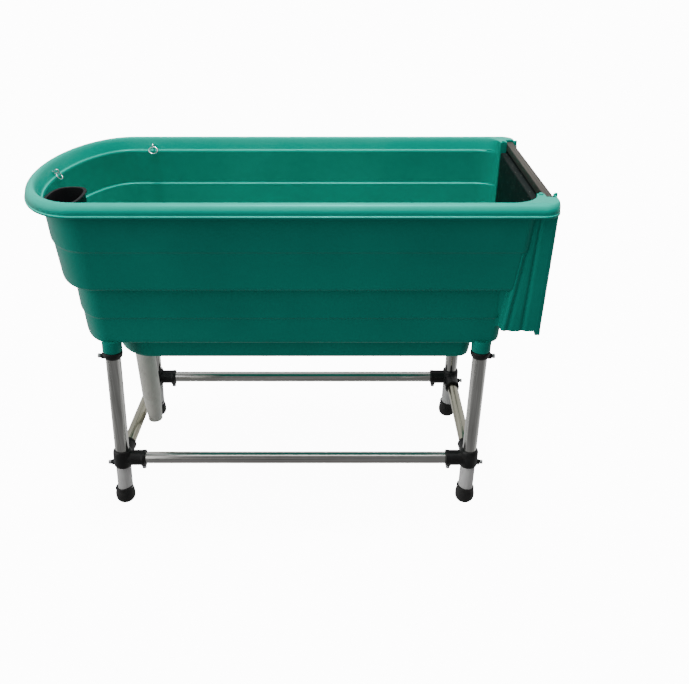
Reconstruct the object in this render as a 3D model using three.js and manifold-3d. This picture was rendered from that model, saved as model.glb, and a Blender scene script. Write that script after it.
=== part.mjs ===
// Raised pet bathtub: a rotomoulded tub with a rounded nose at -X and a lift-out gate at +X, on a stand
// of clamped steel tubes. Millimetres, +Z up. The origin is on the floor under the middle of the object,
// +X points to the gate end and +Y to the rear side.

import * as THREE from 'three';
import { mergeVertices } from 'three/addons/utils/BufferGeometryUtils.js';
import Module from 'manifold-3d';

const wasm = await Module();
wasm.setup();

// ---------------------------------------------------------------- driving dimensions

const LENGTH = 1240;            // overall, along X
const WIDTH = 590;              // overall, along Y
const HEIGHT = 900;             // floor to the top of the rim
const TUB_DEPTH = 450;          // rim top to the underside of the sump
const WALL = 5;                 // moulded wall
const GAP = 0.3;                // clearance between touching pieces

const HALF_LENGTH = LENGTH / 2;
const HALF_WIDTH = WIDTH / 2;
const SUMP_Z = HEIGHT - TUB_DEPTH;
const FLOOR_Z = 512;            // underside of the lower tier
const STEP_Z = 672;             // underside of the upper tier
const LEDGE_Z = 866;            // small ledge inside, just under the rim
const RIM_RIGHT = 618;          // rim's outer edge at the gate end
const RIM_END_SHARE = 0.35;     // the roll is this much tighter across the gate end

const NOSE_X = -440;            // where the straight sides end and the nose begins
const NOSE_LENGTH = NOSE_X + HALF_LENGTH;
const NOSE_POWER = 2.05;        // 2 is an ellipse
const NOSE_STEPS = 20;
const CORNER_STEPS = 4;

const DOOR_HALF = 214;          // half the clear width of the gateway
const SILL_Z = 612;             // top of the gateway's sill
const FRAME_BOTTOM = 565;       // underside of the sill and the gate columns
const FRAME_LEFT = 522;         // where the gate frame meets the lower tier

const GATE_X = 598.5;
const GATE_THICKNESS = 16;
const GATE_HALF = 234.5;
const GATE_TOP = 895;
const PLUG_X = 573.5;           // inner face of the gate's raised middle, which fills the gateway
const PLUG_HALF = 211.5;
const PLUG_TOP = 872;
const BAR_THICKNESS = 18.8;
const BAR_HEIGHT = 17;
const SEAL_HEIGHT = 4;
const SLOT_THICKNESS = 19.6;
const SLOT_HALF = 236;
const SLOT_Z = 585;
const LUG = { x: [606, 618], y: 236, half: 6, drop: 11 };   // small foot under each gate column

const LEG_RADIUS = 19;
const LEG_BORE = LEG_RADIUS + GAP;
const LEG_TOP_Z = 470;          // height at which the leg's upper place is given
const LEG_END = 507;            // along the leg, from the floor
const TUBE_WALL = 1.5;
const TUBE_SIDES = 16;
const SLEEVE_RADIUS = 20.5;
const SLEEVE_START = 13;
const SLEEVE_END = 121.5;
const SOCKET_RADIUS = 24.5;
const SOCKET_START = 487;
const SOCKET_END = 520;
const COLLAR_START = 467.5;
const COLLAR_HEIGHT = 19;
const COLLAR_SCREW = COLLAR_START + 2;
const FOOT_HEIGHT = 50;

const CLAMP_Z = 146;            // height of the rails and of the clamps' arms
const CLAMP_START = 123;
const CLAMP_END = 178;
const LEG_SCREW_Z = 131;
const CLAMP_RADIUS = 25;
const ARM_RADIUS = 22;
const ARM_END = 64;             // from the leg's axis
const ARM_BOSS = 55;            // the arm's screw boss, from the leg's axis
const RAIL_RADIUS = 16.25;
const RAIL_BORE = RAIL_RADIUS + GAP;
const RAIL_START = 24;          // the rail's end, from the leg's axis
const RAIL_SIDES = 12;
const BOSS_RADIUS = 8;
const SCREW_RADIUS = 3;
const SCREW_HEAD = 6;
const SCREW_SIDES = 8;
const COLLAR_KNOB = 38;         // from the leg's axis to the end of the screw's head
const LEG_KNOB = 40;
const ARM_KNOB = 36;
const BOSS_START = 12;
const COLLAR_BOSS = 29;         // ends of the screw bosses
const LEG_BOSS = 31;
const RAIL_BOSS = 27;
const BOSS_SIDES = 10;

const DRAIN_X = -422;
const PIPE_RADIUS = 27;
const PIPE_BORE = 24;
const PIPE_TOP = 436;
const PIPE_BOTTOM = 214;
const TAIL_RADIUS = 23;         // the strainer's tail, which passes through the sump and the nut
const STRAINER_BORE = 19;
const FLANGE_RADIUS = 31;
const NUT_RADIUS = 33;
const OUTLET_BOTTOM = 129;
const DRAIN_SIDES = 16;

const CADDY = { x: -507, y: -141, halfX: 40, halfY: 64, bottom: 806, top: 870 };

const CORNERS = [
  { name: 'front_left', side: -1, front: -1, top: [-441.7, -198.5], foot: [-474.8, -207] },
  { name: 'rear_left', side: -1, front: 1, top: [-441.7, 198.5], foot: [-474.8, 207] },
  { name: 'front_right', side: 1, front: -1, top: [488.5, -198.5], foot: [485, -207] },
  { name: 'rear_right', side: 1, front: 1, top: [488.5, 198.5], foot: [485, 207] },
];

const finish = {
  tub: { color: 0x08705f, roughness: 0.42, metalness: 0 },
  gate: { color: 0x101f1c, roughness: 0.5, metalness: 0 },
  gateBar: { color: 0x5f5f55, roughness: 0.5, metalness: 0 },
  rubber: { color: 0x1a1a1a, roughness: 0.8, metalness: 0 },
  plastic: { color: 0x191c1b, roughness: 0.5, metalness: 0 },
  steel: { color: 0xb8b8b4, roughness: 0.18, metalness: 1 },
  sleeve: { color: 0x8d8d8b, roughness: 0.5, metalness: 0 },
  pipe: { color: 0xc4c4bc, roughness: 0.45, metalness: 0 },
};

// ---------------------------------------------------------------- solids

// A closed BufferGeometry from shared vertices.
function solidGeometry(vertices, triangles) {
  const geometry = new THREE.BufferGeometry();
  geometry.setAttribute('position', new THREE.BufferAttribute(new Float32Array(vertices), 3));
  geometry.setIndex(triangles);
  return geometry;
}

// Walls through a stack of outlines that have the same number of points. The outlines run anticlockwise seen
// from above and are listed upwards. The first and the last are capped.
function loft(levels) {
  const count = levels[0].points.length;
  const vertices = levels.flatMap(({ z, points }) => points.flatMap(([x, y]) => [x, y, z]));
  const triangles = [];
  for (let level = 0; level + 1 < levels.length; level++) {
    for (let i = 0; i < count; i++) {
      const a = level * count + i;
      const b = level * count + (i + 1) % count;
      triangles.push(a, b, b + count, a, b + count, a + count);
    }
  }
  const flat = (points) => points.map(([x, y]) => new THREE.Vector2(x, y));
  const cap = (points) => THREE.ShapeUtils.triangulateShape(flat(points), []);
  const lift = (levels.length - 1) * count;
  cap(levels[0].points).forEach(([a, b, c]) => triangles.push(a, c, b));
  cap(levels.at(-1).points).forEach(([a, b, c]) => triangles.push(a + lift, b + lift, c + lift));
  return solidGeometry(vertices, triangles);
}

function toSolid(geometry) {
  const bare = geometry.clone();
  bare.deleteAttribute('normal');
  bare.deleteAttribute('uv');
  const shared = mergeVertices(bare, 1e-4);
  return new wasm.Manifold(new wasm.Mesh({
    numProp: 3,
    vertProperties: new Float32Array(shared.attributes.position.array),
    triVerts: new Uint32Array(shared.index.array),
  }));
}

function toGeometry(solid) {
  const { vertProperties, triVerts } = solid.getMesh();
  return solidGeometry(Array.from(vertProperties), Array.from(triVerts));
}

const join = (...geometries) => geometries.map(toSolid).reduce((a, b) => a.add(b));
const cut = (solid, ...geometries) => geometries.map(toSolid).reduce((a, b) => a.subtract(b), solid);

function box([x0, x1], [y0, y1], [z0, z1]) {
  return new THREE.BoxGeometry(x1 - x0, y1 - y0, z1 - z0)
    .translate((x0 + x1) / 2, (y0 + y1) / 2, (z0 + z1) / 2);
}

// A body of revolution about Z. The profile is [radius, height] pairs and starts and ends on the axis or,
// with closed set, comes back to its start.
function lathe(profile, sides, closed = false) {
  const points = profile.map(([r, z]) => new THREE.Vector2(r, z));
  if (closed) points.push(points[0].clone());
  return new THREE.LatheGeometry(points, sides).rotateX(Math.PI / 2);
}

// Turns a body built along +Z so that it points along the direction, and puts its start at the origin given.
function aim(geometry, origin, direction) {
  const unit = new THREE.Vector3(...direction).normalize();
  const turn = new THREE.Quaternion().setFromUnitVectors(new THREE.Vector3(0, 0, 1), unit);
  return geometry.applyQuaternion(turn).translate(...origin);
}

const rod = (radius, start, end, sides) =>
  new THREE.CylinderGeometry(radius, radius, end - start, sides)
    .rotateX(Math.PI / 2)
    .translate(0, 0, (start + end) / 2);

const tube = (outer, inner, start, end, sides) =>
  lathe([[inner, start], [outer, start], [outer, end], [inner, end]], sides, true);

function part(name, geometry, look) {
  const mesh = new THREE.Mesh(geometry, new THREE.MeshStandardMaterial(look));
  mesh.name = name;
  return mesh;
}

// ---------------------------------------------------------------- plan outlines

// Straight sides, a rounded nose at -X and two elliptic corners at +X, as [x, y] points.
function plan({ noseX, noseLength, halfWidth, right, cornerX, cornerY }) {
  const points = [];
  for (const front of [-1, 1]) {
    for (let i = 0; i <= CORNER_STEPS; i++) {
      const turn = (i / CORNER_STEPS + (front < 0 ? -1 : 0)) * Math.PI / 2;
      points.push([
        right - cornerX + cornerX * Math.cos(turn),
        front * (halfWidth - cornerY) + cornerY * Math.sin(turn),
      ]);
    }
  }
  const round = (value) => Math.sign(value) * Math.abs(value) ** (2 / NOSE_POWER);
  for (let i = 0; i <= NOSE_STEPS; i++) {
    const turn = Math.PI / 2 + Math.PI * i / NOSE_STEPS;
    points.push([noseX + noseLength * round(Math.cos(turn)), halfWidth * round(Math.sin(turn))]);
  }
  return points;
}

// The tub's plan, drawn in from the rim's outer edge by the inset.
const tubPlan = (inset, right, cornerX, cornerY = cornerX) => plan({
  noseX: NOSE_X, noseLength: NOSE_LENGTH - inset, halfWidth: HALF_WIDTH - inset, right, cornerX, cornerY,
});

// The rim's outer edge is a rounded corner; its inner edge runs into the gateway's jamb.
const rimPlan = (inset) => tubPlan(inset, RIM_RIGHT - RIM_END_SHARE * inset, Math.max(45 - inset, 12));
const jambPlan = (inset, right = 572) => tubPlan(inset, right, 66, HALF_WIDTH - inset - DOOR_HALF);

const SUMP_NOSE_X = -350;
const SUMP_CORNER = 28;
const sumpPlan = (halfWidth, noseLength, right) => plan({
  noseX: SUMP_NOSE_X, noseLength, halfWidth, right, cornerX: SUMP_CORNER, cornerY: SUMP_CORNER,
});

// ---------------------------------------------------------------- tub shell

// Outer faces: floor, lower tier with its crease, step, upper tier with its crease, then the rolled rim.
function tubOutside() {
  return loft([
    { z: FLOOR_Z, points: tubPlan(96, 517, 28) },
    { z: FLOOR_Z + 3, points: tubPlan(88, 525, 28) },
    { z: FLOOR_Z + 9, points: tubPlan(83.5, 529.5, 28) },
    { z: FLOOR_Z + 18, points: tubPlan(82, 531, 28) },
    { z: 584, points: tubPlan(80, 533, 28) },
    { z: 589, points: tubPlan(76, 536, 28) },
    { z: STEP_Z - 4, points: tubPlan(75, 538, 28) },
    { z: STEP_Z, points: tubPlan(58, 546, 24) },
    { z: STEP_Z + 3, points: tubPlan(50, 554, 22) },
    { z: STEP_Z + 10, points: tubPlan(46.5, 557, 22) },
    { z: 772, points: tubPlan(43.5, 563, 22) },
    { z: 777, points: tubPlan(39, 565, 22) },
    { z: 860, points: tubPlan(36.5, 571, 22) },
    { z: 863, points: rimPlan(31) },
    { z: 869.5, points: rimPlan(3) },
    { z: 870.5, points: rimPlan(0) },
    { z: 874, points: rimPlan(0) },
    { z: 876, points: rimPlan(2.5) },
    { z: 885, points: rimPlan(3.5) },
    { z: 892, points: rimPlan(7) },
    { z: 897.5, points: rimPlan(13) },
    { z: HEIGHT, points: rimPlan(20) },
  ]);
}

// The space inside: the same tiers one wall further in, the ledge under the rim, and the rim's inner face.
function tubInside() {
  return loft([
    { z: FLOOR_Z + WALL, points: tubPlan(101, 512, 28) },
    { z: FLOOR_Z + WALL + 3, points: tubPlan(93.5, 520, 28) },
    { z: FLOOR_Z + WALL + 9, points: tubPlan(88.5, 524.5, 28) },
    { z: FLOOR_Z + WALL + 18, points: tubPlan(87, 526, 28) },
    { z: 584, points: tubPlan(85, 528, 28) },
    { z: 589, points: tubPlan(81, 531, 28) },
    { z: STEP_Z + WALL, points: tubPlan(80, 533, 28) },
    { z: STEP_Z + WALL, points: jambPlan(63) },
    { z: STEP_Z + WALL + 3, points: jambPlan(55) },
    { z: STEP_Z + WALL + 10, points: jambPlan(51.5) },
    { z: 772, points: jambPlan(48.5) },
    { z: 777.5, points: jambPlan(44) },
    { z: LEDGE_Z - 3, points: jambPlan(41.5) },
    { z: LEDGE_Z, points: jambPlan(41) },
    { z: LEDGE_Z + 1.5, points: jambPlan(36.5) },
    { z: 882, points: jambPlan(32) },
    { z: 893, points: jambPlan(28) },
    { z: 898, points: jambPlan(24.5) },
    { z: HEIGHT + 1, points: jambPlan(19) },
  ]);
}

// The rolled rim is open underneath: this channel, as far as the gate frame, is taken out of it.
function rimChannel() {
  const level = ([inset, z]) => ({ z, points: tubPlan(inset, 600, 30) });
  const stack = (levels) => toSolid(loft(levels.map(level)));
  const outer = stack([[5, 858], [5, 874], [7.5, 884], [12, 891], [17, 894]]);
  const inner = stack([[31, 857], [31, 866], [27.5, 877], [24, 888], [21, 892.5], [18, 896]]);
  const reach = toSolid(box([-700, 540], [-400, 400], [850, HEIGHT]));
  return outer.subtract(inner).intersect(reach);
}

// One column of the gate frame with its upright pleats, as [x, y] at its foot and at the rim.
function gateColumn(front) {
  const foot = [[505, 213], [522, 214], [523, 236], [530, 243], [538, 238], [546, 243], [566, 243],
    [573, 237], [581, 243], [611, 243], [618, 240], [HALF_LENGTH, 234], [HALF_LENGTH, 205], [505, 205]];
  const head = [[520, 230], [545, 252], [556, 256], [562, 256], [568, 249], [572, 250], [577, 251],
    [581, 248], [586, 253], [609, 253], [617, 250], [HALF_LENGTH, 243], [HALF_LENGTH, 205], [520, 205]];
  const place = (points) => {
    const placed = points.map(([x, y]) => [x, front * y]);
    return front < 0 ? placed : placed.reverse();
  };
  return loft([{ z: FRAME_BOTTOM, points: place(foot) }, { z: LEDGE_Z + 4, points: place(head) }]);
}

function sump(grow, bottom, top) {
  return loft([
    { z: bottom, points: sumpPlan(166 + grow, 110 + grow, 456 + grow) },
    { z: bottom + 4, points: sumpPlan(173 + grow, 117 + grow, 463 + grow) },
    { z: bottom + 14, points: sumpPlan(176 + grow, 122 + grow, 467 + grow) },
    { z: top, points: sumpPlan(181 + grow, 127 + grow, 472 + grow) },
  ]);
}

function tubShell() {
  const lug = (front) => box(LUG.x, [front * LUG.y - LUG.half, front * LUG.y + LUG.half],
    [FRAME_BOTTOM - LUG.drop, FRAME_BOTTOM + 2]);
  const onLegs = (radius, start, end) =>
    CORNERS.map((corner) => onLeg(corner, rod(radius, start, end, TUBE_SIDES)));
  const sockets = onLegs(SOCKET_RADIUS, SOCKET_START, SOCKET_END);
  const bores = onLegs(LEG_BORE, SOCKET_START - 9, LEG_END + 1);
  const sill = box([FRAME_LEFT + 1.5, HALF_LENGTH], [-210, 210], [FRAME_BOTTOM, SILL_Z]);
  const outside = join(
    tubOutside(), gateColumn(-1), gateColumn(1), sill, lug(-1), lug(1), sump(0, SUMP_Z, FLOOR_Z + 2),
    ...sockets,
  );
  const underSill = box([FRAME_LEFT + 14, 578], [-203, 203], [FRAME_BOTTOM - 1, SILL_Z - 7]);
  const gateway = box([FRAME_LEFT + 2.5, HALF_LENGTH + 5], [-DOOR_HALF + 1, DOOR_HALF - 1],
    [SILL_Z, HEIGHT + 5]);
  const slot = box([GATE_X - SLOT_THICKNESS / 2, GATE_X + SLOT_THICKNESS / 2], [-SLOT_HALF, SLOT_HALF],
    [SLOT_Z, HEIGHT + 5]);
  const drainHole = rod(TAIL_RADIUS + 0.5, SUMP_Z - WALL, SUMP_Z + 2 * WALL, DRAIN_SIDES)
    .translate(DRAIN_X, 0, 0);
  return toGeometry(cut(
    outside.subtract(rimChannel()), tubInside(), sump(-WALL, SUMP_Z + WALL, FLOOR_Z + WALL + 3), underSill,
    gateway, slot, drainHole, ...bores, ...TETHERS.map(tetherHole),
  ));
}

// ---------------------------------------------------------------- stand

function legDirection({ top, foot }) {
  return [top[0] - foot[0], top[1] - foot[1], LEG_TOP_Z];
}

const onLeg = (corner, geometry) => aim(geometry, [...corner.foot, 0], legDirection(corner));

function legPoint({ top, foot }, z) {
  const share = z / LEG_TOP_Z;
  return [foot[0] + share * (top[0] - foot[0]), foot[1] + share * (top[1] - foot[1]), z];
}

// The leg screw's place, from the middle of the clamp.
function legScrewPlace(corner) {
  const middle = legPoint(corner, CLAMP_Z);
  return legPoint(corner, LEG_SCREW_Z).map((value, i) => value - middle[i]);
}

// A thumb screw along +Z: its shank starts at the tube it grips, and its head ends at the length given.
function thumbScrew(start, length) {
  const neck = length - 9;
  return lathe([[0, start], [SCREW_RADIUS, start], [SCREW_RADIUS, neck], [SCREW_HEAD, neck + 1.5],
    [SCREW_HEAD, length - 1], [SCREW_HEAD - 1, length], [0, length]], SCREW_SIDES);
}

const screwHole = () => rod(SCREW_RADIUS + GAP, BOSS_START - 2, LEG_KNOB, SCREW_SIDES);

// A split collar that grips the leg just below its socket, with a boss for its screw.
function socketCollar(corner) {
  const boss = aim(rod(BOSS_RADIUS, BOSS_START + 3, COLLAR_BOSS, BOSS_SIDES), [0, 0, COLLAR_SCREW],
    [corner.side, 0, 0]);
  const top = COLLAR_START + COLLAR_HEIGHT - 0.5;
  const ring = lathe([[0, COLLAR_START], [21.5, COLLAR_START], [23.5, COLLAR_START + 4],
    [SOCKET_RADIUS + 0.5, COLLAR_START + 12], [SOCKET_RADIUS + 0.5, top], [0, top]], TUBE_SIDES);
  return toGeometry(cut(
    join(ring, boss), rod(LEG_BORE, COLLAR_START - 10, top + 5.5, TUBE_SIDES),
    aim(screwHole(), [0, 0, COLLAR_SCREW], [corner.side, 0, 0]),
  ));
}

// A foot stands upright round its splayed leg, so the leg's bore is cut at the leg's slant.
function rubberFoot(corner) {
  const body = lathe([[0, 0], [17, 0], [21.5, 3], [26, 11], [27, 20], [26, 32], [24, 43], [23.5, FOOT_HEIGHT],
    [0, FOOT_HEIGHT]], TUBE_SIDES);
  const direction = legDirection(corner);
  const bore = rod(SLEEVE_RADIUS + GAP, SLEEVE_START - GAP, FOOT_HEIGHT + 20, TUBE_SIDES);
  return toGeometry(cut(toSolid(body), aim(bore, [0, 0, 0], direction)));
}

// A three-way clamp: a collar round the leg, an arm for the long rail, an arm for the cross rail, and a boss
// with a screw on each. It is built about the leg's axis at the height of the rails.
function cornerClamp(corner) {
  const direction = legDirection(corner);
  const inX = [-corner.side, 0, 0];
  const inY = [0, -corner.front, 0];
  const down = [0, 0, -1];
  const centre = [0, 0, 0];
  const legScrew = legScrewPlace(corner);
  const along = (start, end, radius) =>
    aim(rod(radius, start - CLAMP_Z, end - CLAMP_Z, TUBE_SIDES), centre, direction);
  const boss = (origin, way, end) => aim(rod(BOSS_RADIUS, BOSS_START, end, BOSS_SIDES), origin, way);
  const underX = inX.map((value) => value * ARM_BOSS);
  const underY = inY.map((value) => value * ARM_BOSS);
  const body = join(
    along(CLAMP_START, CLAMP_END, CLAMP_RADIUS),
    aim(rod(ARM_RADIUS, 0, ARM_END, RAIL_SIDES), centre, inX),
    aim(rod(ARM_RADIUS, 0, ARM_END, RAIL_SIDES), centre, inY),
    boss(legScrew, [corner.side, 0, 0], LEG_BOSS), boss(underX, down, RAIL_BOSS),
    boss(underY, down, RAIL_BOSS),
  );
  return toGeometry(cut(
    body, along(CLAMP_START - 10, CLAMP_END + 10, LEG_BORE),
    aim(rod(RAIL_BORE, RAIL_START - 1, ARM_END + 5, RAIL_SIDES), centre, inX),
    aim(rod(RAIL_BORE, RAIL_START - 1, ARM_END + 5, RAIL_SIDES), centre, inY),
    aim(screwHole(), legScrew, [corner.side, 0, 0]), aim(screwHole(), underX, down),
    aim(screwHole(), underY, down),
  ));
}

function screw(name, origin, way, start, length) {
  const mesh = part(name, thumbScrew(start, length), finish.steel);
  mesh.position.set(...origin);
  mesh.quaternion.setFromUnitVectors(new THREE.Vector3(0, 0, 1), new THREE.Vector3(...way));
  return mesh;
}

function legAssembly(corner) {
  const { name, side, front } = corner;
  const leg = new THREE.Group();
  leg.position.set(...corner.foot, 0);
  const direction = new THREE.Vector3(...legDirection(corner)).normalize();
  leg.quaternion.setFromUnitVectors(new THREE.Vector3(0, 0, 1), direction);
  const shaft = tube(LEG_RADIUS, LEG_RADIUS - TUBE_WALL, SLEEVE_START, LEG_END, TUBE_SIDES);
  leg.add(part(`leg_tube_${name}`, shaft, finish.steel));
  const sleeve = tube(SLEEVE_RADIUS, LEG_BORE, SLEEVE_START, SLEEVE_END, TUBE_SIDES);
  leg.add(part(`leg_sleeve_${name}`, sleeve, finish.sleeve));
  leg.add(part(`socket_collar_${name}`, socketCollar(corner), finish.plastic));
  leg.add(screw(`collar_screw_${name}`, [0, 0, COLLAR_SCREW], [side, 0, 0], LEG_BORE + 0.1, COLLAR_KNOB));

  const foot = part(`foot_${name}`, rubberFoot(corner), finish.rubber);
  foot.position.set(...corner.foot, 0);

  const clamp = new THREE.Group();
  clamp.position.set(...legPoint(corner, CLAMP_Z));
  clamp.add(part(`corner_clamp_${name}`, cornerClamp(corner), finish.plastic));
  clamp.add(screw(`clamp_leg_screw_${name}`, legScrewPlace(corner), [side, 0, 0], LEG_BORE + 0.2, LEG_KNOB));
  const down = [0, 0, -1];
  clamp.add(screw(`clamp_rail_screw_${name}`, [-side * ARM_BOSS, 0, 0], down, RAIL_BORE + 0.1, ARM_KNOB));
  clamp.add(screw(`clamp_cross_screw_${name}`, [0, -front * ARM_BOSS, 0], down, RAIL_BORE + 0.1, ARM_KNOB));

  const assembly = new THREE.Group();
  assembly.add(leg, foot, clamp);
  return assembly;
}

// A rail between two legs, butted inside the clamps' arms.
function rail(name, from, to) {
  const start = new THREE.Vector3(...legPoint(from, CLAMP_Z));
  const end = new THREE.Vector3(...legPoint(to, CLAMP_Z));
  const way = end.clone().sub(start);
  const finishAt = way.length() - RAIL_START;
  const shape = tube(RAIL_RADIUS, RAIL_RADIUS - TUBE_WALL, RAIL_START, finishAt, RAIL_SIDES);
  const mesh = part(name, shape, finish.steel);
  mesh.position.copy(start);
  mesh.quaternion.setFromUnitVectors(new THREE.Vector3(0, 0, 1), way.normalize());
  return mesh;
}

// ---------------------------------------------------------------- gate

function gate() {
  const group = new THREE.Group();
  const half = GATE_THICKNESS / 2;
  const panelTop = GATE_TOP - BAR_HEIGHT / 2;
  const sealTop = SLOT_Z + GAP + SEAL_HEIGHT;
  group.position.set(GATE_X, 0, 0);
  const board = box([-half, half], [-GATE_HALF, GATE_HALF], [sealTop + GAP, panelTop]);
  const plug = box([PLUG_X - GATE_X, 0], [-PLUG_HALF, PLUG_HALF], [SILL_Z + 1, PLUG_TOP]);
  group.add(part('gate_panel', toGeometry(join(board, plug)), finish.gate));
  const seal = box([-half + 1, half - 1], [-GATE_HALF + 2, GATE_HALF - 2], [SLOT_Z + GAP, sealTop]);
  group.add(part('gate_seal', seal, finish.rubber));
  const bar = toSolid(box([-BAR_THICKNESS / 2, BAR_THICKNESS / 2], [-GATE_HALF, GATE_HALF],
    [GATE_TOP - BAR_HEIGHT, GATE_TOP]));
  const groove = box([-half - GAP, half + GAP], [-GATE_HALF - 1, GATE_HALF + 1],
    [GATE_TOP - BAR_HEIGHT - 1, panelTop + GAP]);
  group.add(part('gate_top_bar', toGeometry(cut(bar, groove)), finish.gateBar));
  return group;
}

// ---------------------------------------------------------------- drain

function drain() {
  const group = new THREE.Group();
  const seat = SUMP_Z + WALL + GAP;
  group.position.set(DRAIN_X, 0, 0);

  const flange = lathe([[0, PIPE_TOP - 30], [TAIL_RADIUS, PIPE_TOP - 30], [TAIL_RADIUS, seat],
    [FLANGE_RADIUS, seat], [FLANGE_RADIUS - 1, seat + 2.5], [0, seat + 2.5]], DRAIN_SIDES);
  const bore = rod(STRAINER_BORE, PIPE_TOP - 35, seat - 2, DRAIN_SIDES);
  const slots = [-12, -6, 0, 6, 12].map((y) => {
    const reach = Math.sqrt(18 * 18 - y * y) - 2;
    return box([-reach, reach], [y - 1.8, y + 1.8], [seat - 3, seat + 4]);
  });
  group.add(part('drain_strainer', toGeometry(cut(toSolid(flange), bore, ...slots)), finish.steel));

  const nut = tube(NUT_RADIUS, TAIL_RADIUS + GAP + 0.2, PIPE_TOP + GAP, SUMP_Z - GAP, DRAIN_SIDES);
  group.add(part('drain_nut', nut, finish.plastic));
  const pipe = tube(PIPE_RADIUS, PIPE_BORE, PIPE_BOTTOM, PIPE_TOP, DRAIN_SIDES);
  group.add(part('drain_pipe', pipe, finish.pipe));

  const outlet = lathe([
    [20.7, PIPE_BOTTOM - 20], [16, OUTLET_BOTTOM + 8], [15.5, OUTLET_BOTTOM], [19.5, OUTLET_BOTTOM],
    [20, OUTLET_BOTTOM + 5], [22.5, PIPE_BOTTOM - 50], [25, PIPE_BOTTOM - 14], [25.5, PIPE_BOTTOM - GAP],
    [PIPE_BORE - GAP, PIPE_BOTTOM - GAP], [PIPE_BORE - GAP, PIPE_BOTTOM + 22], [20.7, PIPE_BOTTOM + 22],
  ], DRAIN_SIDES, true);
  group.add(part('drain_outlet', outlet, finish.pipe));
  return group;
}

// ---------------------------------------------------------------- caddy

// An oval basket that fits the front of the nose and hangs by its lip on the ledge under the rim.
function caddy() {
  const oval = (shrink, bottom, top) => {
    const points = [];
    for (let i = 0; i < 28; i++) {
      const turn = 2 * Math.PI * i / 28;
      const round = (value) => Math.sign(value) * Math.abs(value) ** 0.75;
      points.push([
        CADDY.x + (CADDY.halfX - shrink) * round(Math.cos(turn)),
        CADDY.y + (CADDY.halfY - shrink) * round(Math.sin(turn)),
      ]);
    }
    return toSolid(loft([{ z: bottom, points }, { z: top, points }]));
  };
  const inside = (inset, bottom, top) => {
    const points = tubPlan(inset, 500, 20);
    return toSolid(loft([{ z: bottom, points }, { z: top, points }]));
  };
  const { bottom, top } = CADDY;
  const lip = LEDGE_Z + 2;
  const body = oval(0, bottom, top).intersect(inside(46, bottom, top));
  const flange = oval(-4, lip, top).intersect(inside(39.5, lip, top));
  const hollow = oval(3, bottom + 3, top + 5).intersect(inside(49, bottom + 3, top + 5));
  return part('caddy', toGeometry(body.add(flange).subtract(hollow)), finish.plastic);
}

// ---------------------------------------------------------------- tether eyes and rings

const EYE_Z = 879;
const EYE_REACH = 10;           // from the rim's inner face to the eye's centre
const EYE_RADIUS = 6;
const EYE_WIRE = 1.6;
const RING_RADIUS = 11;
const RING_WIRE = 1.5;
const RING_LEAN = 34;           // degrees from hanging straight down, where the ring rests on the ledge

// Places on the rim's inner face and the direction into the tub.
const EYE_INSET = 33;
const TETHERS = [
  { name: 'nose', at: [-HALF_LENGTH + EYE_INSET + 1, 14], into: [1, 0] },
  { name: 'rear', at: [-388, HALF_WIDTH - EYE_INSET], into: [0, -1] },
  { name: 'front', at: [-388, -HALF_WIDTH + EYE_INSET], into: [0, 1] },
];

function tetherHole({ at, into }) {
  return aim(rod(EYE_WIRE + 2 * GAP, -12, 8, 8), [...at, EYE_Z], [...into, 0]);
}

function tether({ name, at, into }) {
  const group = new THREE.Group();
  group.position.set(...at, EYE_Z);
  group.rotation.z = Math.atan2(into[1], into[0]);
  const loop = new THREE.TorusGeometry(EYE_RADIUS, EYE_WIRE, 8, 14)
    .rotateX(Math.PI / 2)
    .translate(EYE_REACH, 0, 0);
  const shank = aim(rod(EYE_WIRE, -7, EYE_REACH - EYE_RADIUS, 8), [0, 0, 0], [1, 0, 0]);
  group.add(part(`tether_eye_${name}`, toGeometry(join(loop, shank)), finish.steel));

  const ring = new THREE.TorusGeometry(RING_RADIUS, RING_WIRE, 6, 20)
    .rotateX(Math.PI / 2)
    .rotateZ(Math.PI / 2)
    .scale(1, 1.1, 0.85)
    .translate(0, 0, -RING_RADIUS * 0.85);
  const piece = part(`tether_ring_${name}`, ring, finish.steel);
  piece.position.set(EYE_REACH, 0, -(EYE_RADIUS - EYE_WIRE - RING_WIRE - GAP));
  piece.rotation.y = -THREE.MathUtils.degToRad(RING_LEAN);
  group.add(piece);
  return group;
}

// ---------------------------------------------------------------- assembly

const bathtub = new THREE.Group();
bathtub.name = 'pet_bathtub';
bathtub.add(part('tub_shell', tubShell(), finish.tub));
bathtub.add(gate());
CORNERS.forEach((corner) => bathtub.add(legAssembly(corner)));
const [frontLeft, rearLeft, frontRight, rearRight] = CORNERS;
bathtub.add(rail('rail_front', frontLeft, frontRight));
bathtub.add(rail('rail_rear', rearLeft, rearRight));
bathtub.add(rail('cross_rail_left', frontLeft, rearLeft));
bathtub.add(rail('cross_rail_right', frontRight, rearRight));
bathtub.add(drain());
bathtub.add(caddy());
TETHERS.forEach((place) => bathtub.add(tether(place)));

export default bathtub;
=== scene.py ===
"""Looks of a raised pet bathtub: a moulded tub with a lift-out gate on a stand of clamped steel tubes.

Lengths are millimetres in this file, and become metres where a mesh is made. Only the camera and the
lights are placed in metres. The origin is on the floor under the middle of the object, +X points to the
gate end and +Y to the rear side.
"""
import math

import bmesh
import bpy
import numpy as np
from mathutils import Matrix, Vector


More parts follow.
